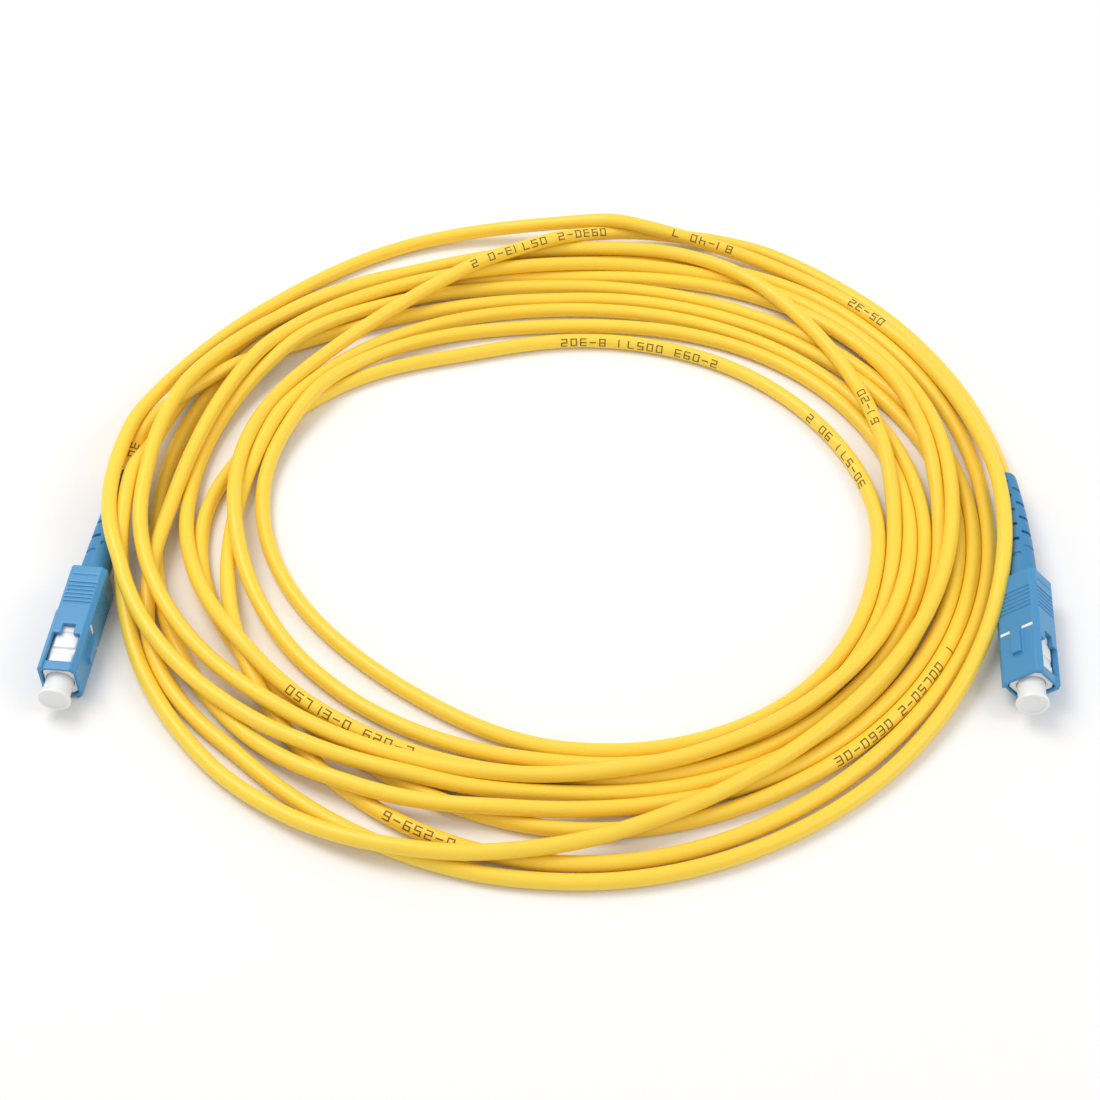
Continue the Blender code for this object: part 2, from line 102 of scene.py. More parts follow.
# Each row is one turn, clockwise from above, starting in the west: the radius in mm at W, NW, N,
# NE, E, SE, S and SW, with the layer that the strand lies in there.
TURNS = (
    "80L 71.5L 64M 71.2L 81.7L 75.6M 69.4M 76.5M",
    "78.5L 78L 70.5L 81.8M 77M 73M 65.6M 72.2T",
    "87T 86T 86.3T 89.9T 88.9M 86.3M 85.1L 82.1L",
    "75.5M 76.5M 73M 84M 79.3T 71.8T 77T 84.8T",
    "84L 83L 75L 86.7L 86.4L 82.6L 80.9L 71L",
    "63M 62.3M 59.8M 67.5M 74.6M 70M 63.5L 63.8T",
    "72.5T 72.5M 68M 74.5L 84L 79.1L 73.8L 67L",
    "69L 55.5L 49.7L 57.3L 66.3L 65.5L 57.8L 51.3L",
    "57.8L 59.8M 54.8M 64.3M 71.6M 65.4T 61.9T 68T",
    "81.5T 82T 77.5M 78T 68.4T 68.2M 60.5L 59.2L",
)
# More places where a strand lies in plain sight: its turn, the angle from east in degrees, the
# radius and the layer.
EXTRA = (
    (2, 202.0, 82.0, "T"),
    (2, 112.0, 87.3, "T"),
    (3, 250.0, 82.0, "T"),
    (3, 290.0, 72.8, "T"),
    (3, 338.0, 75.0, "T"),
    (7, 158.0, 62.5, "L"),
    (7, 112.0, 49.3, "L"),
    (7, 67.0, 52.9, "L"),
    (7, 22.0, 62.0, "L"),
    (7, 247.0, 52.5, "L"),
    (7, 203.0, 53.8, "L"),
    (9, 62.0, 82.6, "T"),
    (9, 22.0, 72.0, "T"),
)
# The last half turn, which crosses outwards over the coil and ends in connector b: the angle from
# east, the radius and the layer.
LAST = (
    (180.0, 61.8, "M"),
    (158.0, 64.0, "T"),
    (135.0, 65.3, "T"),
    (120.0, 68.0, "T"),
    (105.0, 73.0, "T"),
    (90.0, 80.3, "T"),
    (80.0, 85.5, "M"),
    (70.0, 89.6, "M"),
    (58.0, 91.2, "L"),
    (40.0, 91.4, "L"),
    (22.0, 92.6, "L"),
)


BOOT_KNOTS = (46.0, 52.0, 57.0)  # places on a connector's axis that the route keeps to, mm
COIL_FROM = 56.0  # where the turns take over from a connector's axis, mm
PLAN_STEP = 1.5  # between points of the plan, degrees
LEAN_FADE = 25.0  # the strands' shift fades out over this angle at each end, degrees
HELD = 9  # how many points of the line a boot holds, at each end

JACKET = 3.0  # the cable's diameter, mm


def natural_spline(knots, values, at):
    """A natural cubic through values at the rising knots, read at the given places. The curve's
    bends at the knots come from the usual three-term rule, run down the knots and up again."""
    h = np.diff(knots)
    n = len(knots)
    c = np.zeros(n)
    d = np.zeros(n)
    for i in range(1, n - 1):
        after = (values[i + 1] - values[i]) / h[i]
        before = (values[i] - values[i - 1]) / h[i - 1]
        pivot = 2 * (h[i - 1] + h[i]) - h[i - 1] * c[i - 1]
        c[i] = h[i] / pivot
        d[i] = (6 * (after - before) - h[i - 1] * d[i - 1]) / pivot
    m = np.zeros(n)
    for i in range(n - 2, 0, -1):
        m[i] = d[i] - c[i] * m[i + 1]
    k = np.clip(np.searchsorted(knots, at, side="right") - 1, 0, n - 2)
    t = at - knots[k]
    s = knots[k + 1] - at
    return (
        (m[k] * s**3 + m[k + 1] * t**3) / (6 * h[k])
        + (values[k] / h[k] - m[k] * h[k] / 6) * s
        + (values[k + 1] / h[k] - m[k + 1] * h[k] / 6) * t
    )


def lengths_along(points):
    """How far along a line each of its points is."""
    return np.r_[0.0, np.cumsum(np.linalg.norm(np.diff(points, axis=0), axis=1))]


def even_steps(points, step):
    """The same line with its points a fixed step apart."""
    lengths = lengths_along(points)
    count = max(2, int(round(lengths[-1] / step)) + 1)
    at = np.linspace(0.0, lengths[-1], count)
    return np.column_stack([np.interp(at, lengths, points[:, i]) for i in range(3)])


def planned_route():
    """The listed turns as one line, from inside boot a to inside boot b, in millimetres."""

    def knot(end, y):
        x, north, up = end_point(end, y) - (*CENTRE, 0.0)
        turns = 0 if end == "a" else len(TURNS)
        swept = turns * 360.0 + 180.0 - math.degrees(math.atan2(north, x))
        return swept, math.hypot(x, north), up

    knots = [knot(end, y) for end in ENDS for y in BOOT_KNOTS]
    for turn, row in enumerate(TURNS):
        for i, word in enumerate(row.split()):
            if turn or i:  # boot a stands where the first word of the first turn would
                knots.append((turn * 360.0 + i * 45.0, float(word[:-1]), LAYER[word[-1]]))
    for turn, angle, radius, layer in EXTRA:
        knots.append((turn * 360.0 + (180.0 - angle) % 360.0, radius, LAYER[layer]))
    for angle, radius, layer in LAST:
        knots.append((len(TURNS) * 360.0 + 180.0 - angle, radius, LAYER[layer]))
    knots = np.array(sorted(knots))
    first, last = knot("a", COIL_FROM)[0], knot("b", COIL_FROM)[0]
    at = np.arange(first, last, PLAN_STEP)
    radius = natural_spline(knots[:, 0], knots[:, 1], at)
    height = np.interp(at, knots[:, 0], knots[:, 2])
    angle = np.radians(180.0 - at)
    flat = np.column_stack((radius * np.cos(angle), radius * np.sin(angle))) + CENTRE
    ends = np.clip(np.minimum(at - first, last - at) / LEAN_FADE, 0.0, 1.0)
    lean = (VIEW_PLANE - height) * VIEW_LEAN * ends
    coil = np.column_stack((flat[:, 0], flat[:, 1] + lean, height))
    inside_a = [end_point("a", y) for y in np.linspace(CABLE_START, BOOT_TIP + 2.0, HELD)]
    inside_b = [end_point("b", y) for y in np.linspace(BOOT_TIP + 2.0, CABLE_START, HELD)]
    return np.vstack((inside_a, coil, inside_b))


# ---------------------------------------------------------------- how the cable settles

SETTLE_STEP = 2.5  # between points of the cable, mm
SETTLE_ROUNDS = 420
EARLY_SHARE = 0.7  # the share of the rounds that are early
# What a round does: the fall in mm, the pull back to the plan and the number of straightenings.
EARLY_ROUND = (0.05, 0.04, 2)
LATE_ROUND = (0.02, 0.01, 5)
STRAIGHTEN = 0.45  # how much of a bend one straightening takes out

SEARCH_EVERY = 10  # rounds between searches for strands that are near each other
SEARCH_REACH = 6.5  # mm
SEARCH_SKIP = 5  # points of the same strand that never touch
CONTACT_PASSES = 3
CROSSING_SINE = 0.16  # strands at a wider angle than this cross, and the rest lie side by side
LATER_IS_HIGHER = 1e-4  # settles which of two level strands is the upper one, mm for each point
SIDE_SHARE = 0.5  # how much of a push each of two strands that lie side by side takes
UPPER_SHARE, LOWER_SHARE = 0.8, 0.2  # and how much a crossing strand takes
CROWD = 0.7  # how much a point's pushes are weakened when it has many

BOOT_FRONT = 24.0  # mm
BOOT_SPACING = 2.0  # between the balls that stand for a boot, mm
BOOT_CLEARANCE = 0.1  # mm
OWN_POINTS = 8  # points past the held ones that leave a boot without being pushed off it
SLEEVE_REACH = 5.3  # half a sleeve's width and half the cable's thickness, mm
SLEEVE_TRAVEL_END = 28.8  # the back of a pulled sleeve, with half the cable's thickness, mm

SMOOTHINGS = 4
SMOOTHING = 0.25  # how much of a bend one smoothing takes out


def boot_radius(y):
    """How thick a boot is at a place on its axis, mm."""
    return float(np.interp(y, (24.3, 27.8, BOOT_TIP), (2.95, 2.85, 2.15)))


def near_pairs(p):
    """Points and pieces of the cable that may touch: a point's number and the piece's first."""
    tree = kdtree.KDTree(len(p))
    for i, q in enumerate(p):
        tree.insert(q, i)
    tree.balance()
    found = []
    for i, q in enumerate(p):
        for _, j, _ in tree.find_range(q, SEARCH_REACH):
            if abs(i - j) > SEARCH_SKIP and j < len(p) - 1:
                found.append((i, j))
    return np.array(found)


def push_apart(p, pairs):
    """Moves strands that cut into each other: sideways where they run together, and up or down
    where they cross."""
    i, j = pairs[:, 0], pairs[:, 1]
    a, b = p[j], p[j + 1]
    along = b - a
    size = np.maximum((along * along).sum(1), TINY)
    t = np.clip(((p[i] - a) * along).sum(1) / size, 0.0, 1.0)
    gap = p[i] - (a + along * t[:, None])
    flat = np.hypot(gap[:, 0], gap[:, 1])
    dist = np.sqrt(flat**2 + gap[:, 2] ** 2)
    touching = dist < JACKET
    i, j, t, gap, flat, dist = (x[touching] for x in (i, j, t, gap, flat, dist))
    along = along[touching] / np.sqrt(size[touching])[:, None]
    inner = np.clip(i, 1, len(p) - 2)
    way = p[inner + 1] - p[inner - 1]
    way /= np.maximum(np.linalg.norm(way, axis=1), TINY)[:, None]
    crossing = np.abs(way[:, 0] * along[:, 1] - way[:, 1] * along[:, 0]) > CROSSING_SINE
    later = i * LATER_IS_HIGHER - j * LATER_IS_HIGHER
    sign = np.where(gap[:, 2] + later >= 0, 1.0, -1.0)
    lift = np.sqrt(np.maximum(JACKET**2 - flat**2, 0.0)) - np.abs(gap[:, 2])
    push = gap / np.maximum(dist, TINY)[:, None] * (JACKET - dist)[:, None]
    push[crossing] = 0.0
    push[crossing, 2] = (sign * np.maximum(lift, 0.0))[crossing]
    # A strand under another can't go down through the floor, so the upper one takes the lift.
    share = np.where(crossing, np.where(sign > 0, UPPER_SHARE, LOWER_SHARE), SIDE_SHARE)
    back = push * (1.0 - share)[:, None]
    move = np.zeros_like(p)
    count = np.zeros(len(p))
    np.add.at(move, i, push * share[:, None])
    np.add.at(count, i, 1.0)
    np.add.at(move, j, -back * (1.0 - t)[:, None])
    np.add.at(move, j + 1, -back * t[:, None])
    np.add.at(count, j, 1.0 - t)
    np.add.at(count, j + 1, t)
    p += move / np.maximum(count * CROWD, 1.0)[:, None]


def lift_over_boots(p, boots, own):
    """Lifts the cable onto the boots that it lies across, and off the floor."""
    offset = p[:, None, :2] - boots[None, :, :2]
    flat = np.hypot(offset[..., 0], offset[..., 1])
    need = boots[None, :, 3] + JACKET / 2 + BOOT_CLEARANCE
    top = boots[None, :, 2] + np.sqrt(np.maximum(need**2 - flat**2, 0.0))
    over = np.where((flat < need) & ~own, top, -1.0).max(axis=1)
    p[:, 2] = np.maximum(p[:, 2], np.maximum(over, JACKET / 2))


def keep_off_sleeve(p, place, free):
    """Pushes the cable out east of a sleeve, along all of the sleeve's travel."""
    local = (p - place[:3, 3] / MM) @ place[:3, :3] / MM
    inside = (np.abs(local[:, 0]) < SLEEVE_REACH) & (local[:, 1] < SLEEVE_TRAVEL_END) & free
    p[inside] += (SLEEVE_REACH - local[:, 0])[inside, None] * place[:3, 0] / MM


def settle(points):
    """Lets the cable sink onto the floor and onto itself, with its ends held in the boots, so that
    its strands come to rest side by side and on top of each other."""
    p = points.copy()
    n = len(p)
    plan = p[:, :2].copy()
    plan[:, 1] -= (VIEW_PLANE - p[:, 2]) * VIEW_LEAN
    rest_bend = (p[:-2, :2] + p[2:, :2]) / 2 - p[1:-1, :2]
    numbers = np.arange(n)
    held = (numbers < HELD) | (numbers >= n - HELD)
    fixed = p[held].copy()
    at = np.arange(BOOT_FRONT, BOOT_TIP + BOOT_SPACING / 2, BOOT_SPACING)
    boots = np.array([(*end_point(end, y), boot_radius(y)) for end in ENDS for y in at])
    near_a = numbers < HELD + OWN_POINTS
    near_b = numbers >= n - HELD - OWN_POINTS
    is_a = np.arange(len(boots)) < len(at)
    own = (near_a[:, None] & is_a[None, :]) | (near_b[:, None] & ~is_a[None, :])
    # Strands lie against connector a's sleeve, which isn't rolled, so its own X is level there.
    place_a = np.array(end_matrix("a"))
    for number in range(SETTLE_ROUNDS):
        if number % SEARCH_EVERY == 0:
            pairs = near_pairs(p)
        early = number < SETTLE_ROUNDS * EARLY_SHARE
        fall, pull, straightenings = EARLY_ROUND if early else LATE_ROUND
        p[:, 2] -= fall
        aim = plan.copy()
        aim[:, 1] += (VIEW_PLANE - p[:, 2]) * VIEW_LEAN
        p[:, :2] += pull * (aim - p[:, :2])
        for _ in range(straightenings):
            bend = (p[:-2] + p[2:]) / 2 - p[1:-1]
            bend[:, :2] -= rest_bend
            p[1:-1] += STRAIGHTEN * bend
        for _ in range(CONTACT_PASSES):
            push_apart(p, pairs)
            lift_over_boots(p, boots, own)
            keep_off_sleeve(p, place_a, ~near_a & ~near_b)
            p[held] = fixed
    return p


def fine_route(points, step):
    """A smooth line through the settled points, with its ends kept."""
    p = points.copy()
    for _ in range(SMOOTHINGS):
        p[1:-1] += SMOOTHING * ((p[:-2] + p[2:]) / 2 - p[1:-1])
    lengths = lengths_along(p)
    at = np.linspace(0.0, lengths[-1], int(round(lengths[-1] / step)) + 1)
    return np.column_stack([natural_spline(lengths, p[:, i], at) for i in range(3)])


# ---------------------------------------------------------------- meshes and materials


MERGE = 2e-7  # corners nearer than this are one, m


def add_object(name, data):
    """A new object at the origin, in the scene."""
    made = bpy.data.objects.new(name, data)
    bpy.context.scene.collection.objects.link(made)
    return made


def new_object(name, vertices, faces, uv=None):
    """A smooth-shaded mesh object at the origin, from points in metres."""
    mesh = bpy.data.meshes.new(name)
    mesh.from_pydata([tuple(v) for v in vertices], [], faces)
    if uv is not None:
        layer = mesh.uv_layers.new(name="UVMap")
        layer.data.foreach_set("uv", np.asarray(uv, float).ravel())
    mesh.update()
    mesh.shade_smooth()
    return add_object(name, mesh)


def directions(path):
    """The way that a path runs, its side and its upward side, at each of its points."""
    way = np.gradient(path, axis=0)
    way /= np.linalg.norm(way, axis=1)[:, None]
    side = np.cross(way, (0.0, 0.0, 1.0))
    side /= np.linalg.norm(side, axis=1)[:, None]
    return way, side, np.cross(side, way)


def tube_faces(rings, sides):
    """The faces of a tube with closed ends, whose rings of points follow one another."""
    faces = []
    for i in range(rings - 1):
        one, two = i * sides, (i + 1) * sides
        for s in range(sides):
            e = (s + 1) % sides
            faces.append((one + s, one + e, two + e, two + s))
    faces.append(tuple(range(sides - 1, -1, -1)))
    faces.append(tuple((rings - 1) * sides + s for s in range(sides)))
    return faces


def tube_mesh(name, path, radius, sides):
    """A closed tube along a path in millimetres. Its UV map holds the way along in metres and the
    turn round from the top."""
    _, side, up = directions(path)
    angle = (np.arange(sides) * 2 * math.pi / sides)[None, :, None]
    ring = side[:, None, :] * np.sin(angle) + up[:, None, :] * np.cos(angle)
    points = (path[:, None, :] + ring * radius).reshape(-1, 3) * MM
    along = lengths_along(path) * MM
    uv = []
    for one, two in zip(along, along[1:]):
        for s in range(sides):
            low, high = s / sides, (s + 1) / sides
            uv += [(one, low), (one, high), (two, high), (two, low)]
    uv += [(along[0], 0.0)] * sides + [(along[-1], 0.0)] * sides
    made = new_object(name, points, tube_faces(len(path), sides), uv)
    face_outwards(made)
    return made


def face_outwards(thing):
    """Merges doubles and turns every face of a closed mesh outwards."""
    work = bmesh.new()
    work.from_mesh(thing.data)
    bmesh.ops.remove_doubles(work, verts=work.verts, dist=MERGE)
    bmesh.ops.recalc_face_normals(work, faces=work.faces)
    if work.calc_volume(signed=True) < 0:
        bmesh.ops.reverse_faces(work, faces=work.faces)
    work.to_mesh(thing.data)
    work.free()
    thing.data.update()


class Shader:
    """A short hand for building one material's nodes."""

    def __init__(self, name):
        self.material = bpy.data.materials.new(name)
        self.material.use_nodes = True
        self.tree = self.material.node_tree
        self.base = self.tree.nodes["Principled BSDF"]

    def node(self, kind):
        return self.tree.nodes.new(kind)

    def link(self, out, into):
        self.tree.links.new(out, into)

    def place(self, source="Object", scale=(1.0, 1.0, 1.0)):
        """Coordinates, scaled."""
        coord = self.node("ShaderNodeTexCoord")
        mapping = self.node("ShaderNodeMapping")
        mapping.inputs["Scale"].default_value = scale
        self.link(coord.outputs[source], mapping.inputs["Vector"])
        return mapping.outputs["Vector"]

    def noise(self, where, scale, detail=3.0, roughness=0.5):
        """A noise over the given coordinates."""
        made = self.node("ShaderNodeTexNoise")
        made.inputs["Scale"].default_value = scale
        made.inputs["Detail"].default_value = detail
        made.inputs["Roughness"].default_value = roughness
        self.link(where, made.inputs["Vector"])
        return made.outputs["Fac"]

    def vary(self, socket, fac, low, high, ends=(0.3, 0.7)):
        """Takes a socket of the shader from one colour or grey to another as a noise rises."""
        made = self.node("ShaderNodeValToRGB")
        for element, at, value in zip(made.color_ramp.elements, ends, (low, high)):
            element.position = at
            element.color = (*((value,) * 3 if isinstance(value, float) else value), 1.0)
        self.link(fac, made.inputs["Fac"])
        self.link(made.outputs["Color"], self.base.inputs[socket])

    def bump(self, height, strength, distance, after=None):
        """A relief of a noise, laid over another relief where one is given."""
        made = self.node("ShaderNodeBump")
        made.inputs["Strength"].default_value = strength
        made.inputs["Distance"].default_value = distance
        self.link(height, made.inputs["Height"])
        if after is not None:
            self.link(after, made.inputs["Normal"])
        return made.outputs["Normal"]

    def set(self, **values):
        """Fixed values straight on the shader's sockets."""
        for key, value in values.items():
            self.base.inputs[key.replace("_", " ")].default_value = value


def srgb(r, g, b):
    """A colour given in 0-255 display values, as a shader's linear colour."""
    values = (c / 255 for c in (r, g, b))
    return tuple(c / 12.92 if c <= 0.04045 else ((c + 0.055) / 1.055) ** 2.4 for c in values)


def shade(colour, by):
    """A colour made lighter or darker."""
    return tuple(min(1.0, c * by) for c in colour)


def moulded(name, colour, roughness, grain, vary=0.06, bump=0.08, through=0.0):
    """Injection-moulded plastic: a fine spark-eroded grain, faint flow marks and a roughness that
    drifts a little. Pale plastics let some light through."""
    s = Shader(name)
    fine = s.noise(s.place(), grain, 2.0)
    flow = s.noise(s.place(scale=(1.0, 0.35, 1.0)), 160.0, 4.0, 0.6)
    s.vary("Base Color", flow, shade(colour, 1 - vary), shade(colour, 1 + vary))
    s.vary("Roughness", flow, roughness - 0.04, roughness + 0.05, ends=(0.25, 0.75))
    waves = s.bump(flow, 0.06, 0.0004)
    s.link(s.bump(fine, bump, 0.00006, waves), s.base.inputs["Normal"])
    s.set(Specular_IOR_Level=0.5)
    if through > 0:
        s.set(Subsurface_Weight=through, Subsurface_Scale=0.001, Subsurface_Radius=(0.3, 0.3, 0.3))
    return s.material


def jacket_material(colour):
    """Soft extruded jacket: even colour with faint drift along its length, and the fine scuffs of a
    handled cable."""
    s = Shader("jacket_yellow")
    drift = s.noise(s.place("UV", (1.0, 0.004, 1.0)), 9.0)
    s.vary("Base Color", drift, shade(colour, 0.95), shade(colour, 1.04))
    scuff = s.noise(s.place(), 900.0, 5.0, 0.65)
    s.vary("Roughness", scuff, 0.30, 0.42, ends=(0.35, 0.7))
    draw = s.noise(s.place("UV", (6.0, 1.0, 1.0)), 40.0, 2.0)
    lines = s.bump(draw, 0.05, 0.0002)
    s.link(s.bump(scuff, 0.06, 0.00008, lines), s.base.inputs["Normal"])
    s.set(Specular_IOR_Level=0.42, Subsurface_Weight=0.12, Subsurface_Scale=0.0012)
    s.set(Subsurface_Radius=(1.0, 0.6, 0.15))
    return s.material


CABLE = {}  # the cable's path and objects, from one operator to the next


class PatchCordCable(bpy.types.PropertyGroup):
    """The cable's sizes and colour"""

    colour: bpy.props.FloatVectorProperty(
        name="Jacket colour",
        description="Colour of the cable's jacket",
        subtype="COLOR",
        size=3,
        default=srgb(251, 212, 70),
    )
    diameter: bpy.props.FloatProperty(
        name="Diameter",
        description="Outside diameter of the jacket",
        default=JACKET * MM,
        unit="LENGTH",
    )
    sides: bpy.props.IntProperty(
        name="Sides", description="Faces round the jacket", default=18, min=8
    )
    ring: bpy.props.FloatProperty(
        name="Ring spacing",
        description="Distance between the jacket's rings",
        default=1.9 * MM,
        unit="LENGTH",
    )


class OBJECT_OT_patch_cord_cable(bpy.types.Operator):
    """Lay the cable in its loose coil, let it settle and make its jacket"""

    bl_idname = "object.patch_cord_cable"
    bl_label = "Cable"

    def execute(self, context):
        props = context.scene.patch_cord_cable
        points = settle(even_steps(planned_route(), SETTLE_STEP))
        path = fine_route(points, props.ring / MM)
        CABLE["path"] = path
        jacket = tube_mesh("cable_jacket", path, props.diameter / MM / 2, props.sides)
        jacket.data.materials.append(jacket_material(props.colour))
        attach(jacket, "cord")
        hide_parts("cable_coil", "cable_lead_a", "cable_lead_b")
        CABLE["jacket"] = jacket
        return {"FINISHED"}


def declare_cable(diameter):
    """Works out the point where the cable leaves boot a, and keeps nothing of it."""
    tuple(end_point("a", BOOT_TIP) * MM)


# ---------------------------------------------------------------- the connectors

SIDES = 64  # faces round a turned piece
PAST = 1.0  # how far a cutter goes on past the face that it cuts, mm
CUTTER = "cutter"

# Coupling sleeve, mm
SLEEVE_WIDTH = 7.4
SLEEVE_HEIGHT = 9.0
LATCH_CUT_DEPTH = 0.22
LATCH_CUT_ACROSS = ((-2.3, 22.2), (2.3, 22.45))  # corners on the window face
LATCH_CUT_ALONG = ((-2.45, 22.2), (-2.2, 24.0))

# White index bars, mm
BAR_REACH = (1.11, 3.47)  # from the sleeve's middle line
BAR_PLACE = (10.78, 11.42)
BAR_DEPTH = 0.27
BAR_PROUD = 0.01
BAR_EDGE = 0.06

# Plug frame, mm
FRAME_HEIGHT = 6.9
LEDGE_DEPTH = 0.25
LEDGE_CUT = ((-3.5, 8.9), (3.5, 9.25))  # corners on the window face

# Outlines of turned pieces: the radius, the place on the axis and the corner's own radius, mm
CAP_OUTLINE = (
    (0.0, -4.0),
    (2.2, -4.0, 0.15),
    (2.45, -4.2, 0.12),
    (3.05, -4.2, 0.22),
    (3.05, -3.4, 0.22),
    (2.6, -3.35, 0.2),
    (2.52, 5.5, 0.2),
    (1.32, 5.5, 0.1),
    (1.30, 0.3, 0.3),
    (0.0, 0.3),
)
BOOT_OUTLINE = (
    (2.32, 24.3, 0.1),
    (2.95, 24.3, 0.25),
    (2.85, 27.8, 0.9),
    (2.25, 51.0, 0.3),
    (2.15, BOOT_TIP, 0.35),
    (1.62, BOOT_TIP, 0.15),
    (1.62, 32.6, 0.1),
    (2.32, 32.6, 0.1),
)

# The boot's bend slots, mm
SLOT_COUNT = 11
SLOT_FIRST = 29.8
SLOT_PITCH = 1.92
SLOT_WIDTH = 0.75
SLOT_HALF_ARC = 83.0  # degrees
SLOT_STEPS = 24
SLOT_OUTSIDE = 4.0
SLOT_FLOOR = 1.9
CUP_END = 32.8  # up to here the slots are shallower, over the crimp
CUP_FLOOR = 2.45

# Softened edges: the voxel, the smoothings and the share of the faces that is kept
SLEEVE_SOFT = (0.12 * MM, 2, 0.36)
FRAME_SOFT = (0.12 * MM, 2, 0.3)
BOOT_SOFT = (0.1 * MM, 3, 0.35)

# The ferrule's spring, mm
SPRING_FRONT = 13.4
SPRING_REAR = 18.2
SPRING_RADIUS = 1.85
SPRING_WIRE = 0.22
SPRING_TURNS = 6.0
SPRING_CLOSED = 0.75  # turns that lie flat at each end
SPRING_CLOSED_RISE = 0.4  # how far a flat turn rises, in wire radii
SPRING_STEPS = 240
SPRING_SIDES = 10


def turned_mesh(name, end, outline, sides=SIDES):
    """A closed outline of (radius, place along the axis) turned round a connector's axis."""
    points = []
    rings = []
    for radius, y in outline:
        if radius < TINY:
            rings.append([len(points)])
            points.append((0.0, y, 0.0))
            continue
        rings.append(list(range(len(points), len(points) + sides)))
        for s in range(sides):
            angle = s * 2 * math.pi / sides
            points.append((radius * math.cos(angle), y, radius * math.sin(angle)))
    faces = []
    for one, two in zip(rings, rings[1:] + rings[:1]):
        if len(one) == len(two) == 1:
            continue
        for s in range(sides):
            e = (s + 1) % sides
            if len(one) == 1:
                faces.append((one[0], two[e], two[s]))
            elif len(two) == 1:
                faces.append((one[s], one[e], two[0]))
            else:
                faces.append((one[s], one[e], two[e], two[s]))
    made = new_object(name, points, faces)
    made.data.transform(end_matrix(end))
    face_outwards(made)
    return made


def rounded(points, steps=4):
    """An outline with its corners turned to arcs, except on the axis."""
    made = []
    n = len(points)
    for i in range(n):
        before, here, after = (Vector(points[k % n][:2]) for k in (i - 1, i, i + 1))
        if here[0] < TINY:
            made.append(tuple(here))
            continue
        a, b = before - here, after - here
        r = min(points[i][2], a.length * 0.45, b.length * 0.45)
        one, two = here + a.normalized() * r, here + b.normalized() * r
        for s in range(steps + 1):
            t = s / steps
            made.append(tuple(one * (1 - t) ** 2 + here * 2 * t * (1 - t) + two * t**2))
    return made


def cut_with(target, cutters):
    """Cuts closed meshes out of another and throws them away."""
    for cutter in cutters:
        modifier = target.modifiers.new("cut", "BOOLEAN")
        modifier.operation = "DIFFERENCE"
        modifier.solver = "EXACT"
        modifier.object = cutter
        bake(target)
        bpy.data.objects.remove(cutter)


def bake(target):
    """Turns an object's modifiers into its mesh."""
    bpy.context.view_layer.update()
    graph = bpy.context.evaluated_depsgraph_get()
    mesh = bpy.data.meshes.new_from_object(target.evaluated_get(graph))
    old = target.data
    target.modifiers.clear()
    target.data = mesh
    bpy.data.meshes.remove(old)


def soften(target, end, voxel, rounds, keep):
    """Gives a sharp solid the small even edge radius of a moulding: fine voxels, smoothed and
    thinned again. It's done in the connector's own frame, so that the voxels run along its flat
    faces."""
    place = end_matrix(end) @ Matrix.Scale(1.0 / MM, 4)
    target.data.transform(place.inverted())
    remesh = target.modifiers.new("voxels", "REMESH")
    remesh.mode = "VOXEL"
    remesh.voxel_size = voxel
    smooth = target.modifiers.new("round", "SMOOTH")
    smooth.factor = 0.5
    smooth.iterations = rounds
    thin = target.modifiers.new("thin", "DECIMATE")
    thin.ratio = keep
    bake(target)
    target.data.transform(place)
    target.data.shade_smooth()
    face_outwards(target)


def box_mesh(name, end, low, high, edge=0.0):
    """A box in a connector's millimetres, with rounded edges where an edge radius is given."""
    work = bmesh.new()
    low, high = Vector(low), Vector(high)
    place = Matrix.Translation((low + high) / 2) @ Matrix.Diagonal((*(high - low), 1.0))
    bmesh.ops.create_cube(work, size=1.0, matrix=place)
    if edge:
        bmesh.ops.bevel(
            work, geom=work.edges[:], offset=edge, segments=3, affect="EDGES", profile=0.5
        )
    mesh = bpy.data.meshes.new(name)
    work.to_mesh(mesh)
    work.free()
    mesh.transform(end_matrix(end))
    return add_object(name, mesh)


def face_cut(end, corners, face, depth, side):
    """A cutter for a shallow cut in one of a connector's two window faces."""
    (x0, y0), (x1, y1) = corners
    low, high = sorted((side * (face - depth), side * (face + PAST)))
    return box_mesh(CUTTER, end, (x0, y0, low), (x1, y1, high))


def copy_of_node(name, node):
    """A merged copy of a CAD node's mesh, as the start of a finer piece."""
    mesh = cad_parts[node].data.copy()
    mesh.name = name
    mesh.materials.clear()
    made = add_object(name, mesh)
    face_outwards(made)
    return made


def finish_piece(piece, material, body, slot, *nodes):
    """Gives a piece its material and its body, and hides the CAD nodes that it stands for. The slot
    is not used.
    """
    piece.data.materials.clear()
    piece.data.materials.append(material)
    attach(piece, body)
    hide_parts(*nodes)


def make_sleeve(end, material):
    """The coupling sleeve, with its latch windows, key, grip grooves and the cut round its latch
    tab."""
    sleeve = copy_of_node("sleeve_shell_" + end, "coupling_sleeve_" + end)
    cutters = []
    for side in (-1, 1):
        for corners in (LATCH_CUT_ACROSS, LATCH_CUT_ALONG):
            cutters.append(face_cut(end, corners, SLEEVE_HEIGHT / 2, LATCH_CUT_DEPTH, side))
    cut_with(sleeve, cutters)
    soften(sleeve, end, *SLEEVE_SOFT)
    finish_piece(sleeve, material, "sleeve_" + end, "sleeve_blue", "coupling_sleeve_" + end)


